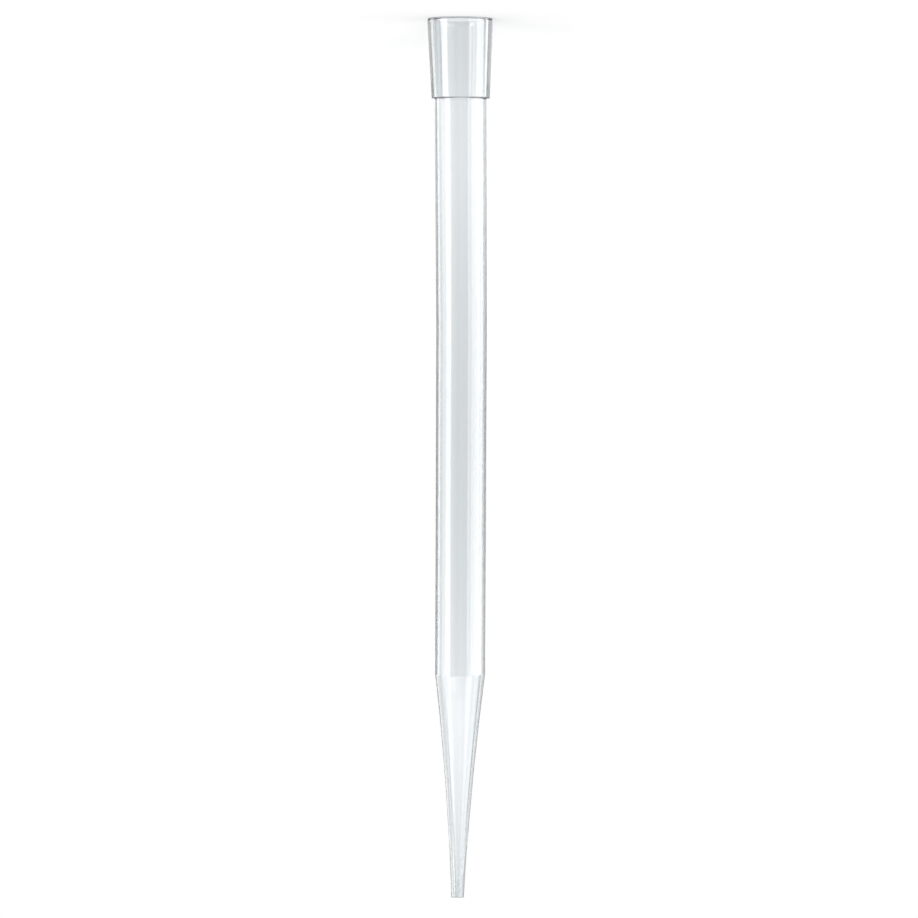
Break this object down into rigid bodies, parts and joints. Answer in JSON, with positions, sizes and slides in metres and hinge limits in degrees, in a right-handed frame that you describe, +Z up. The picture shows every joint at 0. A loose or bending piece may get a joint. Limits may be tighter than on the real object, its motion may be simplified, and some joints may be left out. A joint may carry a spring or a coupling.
{
  "type": "pipette tip",
  "caption": "Clear pipette tip: a long thin-walled tube with a flared socket collar at one end and a slim hollow-sided cone ending in a fine orifice.",
  "frame": {"origin": "centre of the rim, on the bench that the tip stands on", "axes": "+Z up along the tip's axis, from the rim to the orifice: on its side the tip rolls, so it stands on the flat rim of its collar; +X and +Y are any two directions square to that, because the tip is round"},
  "size_m": [0.012, 0.012, 0.16],
  "materials": {
    "clear_polypropylene": "clear and glossy, with a faint haze"
  },
  "bodies": {
    "root": {"pipette_tip": "clear_polypropylene"}
  },
  "joints": []
}
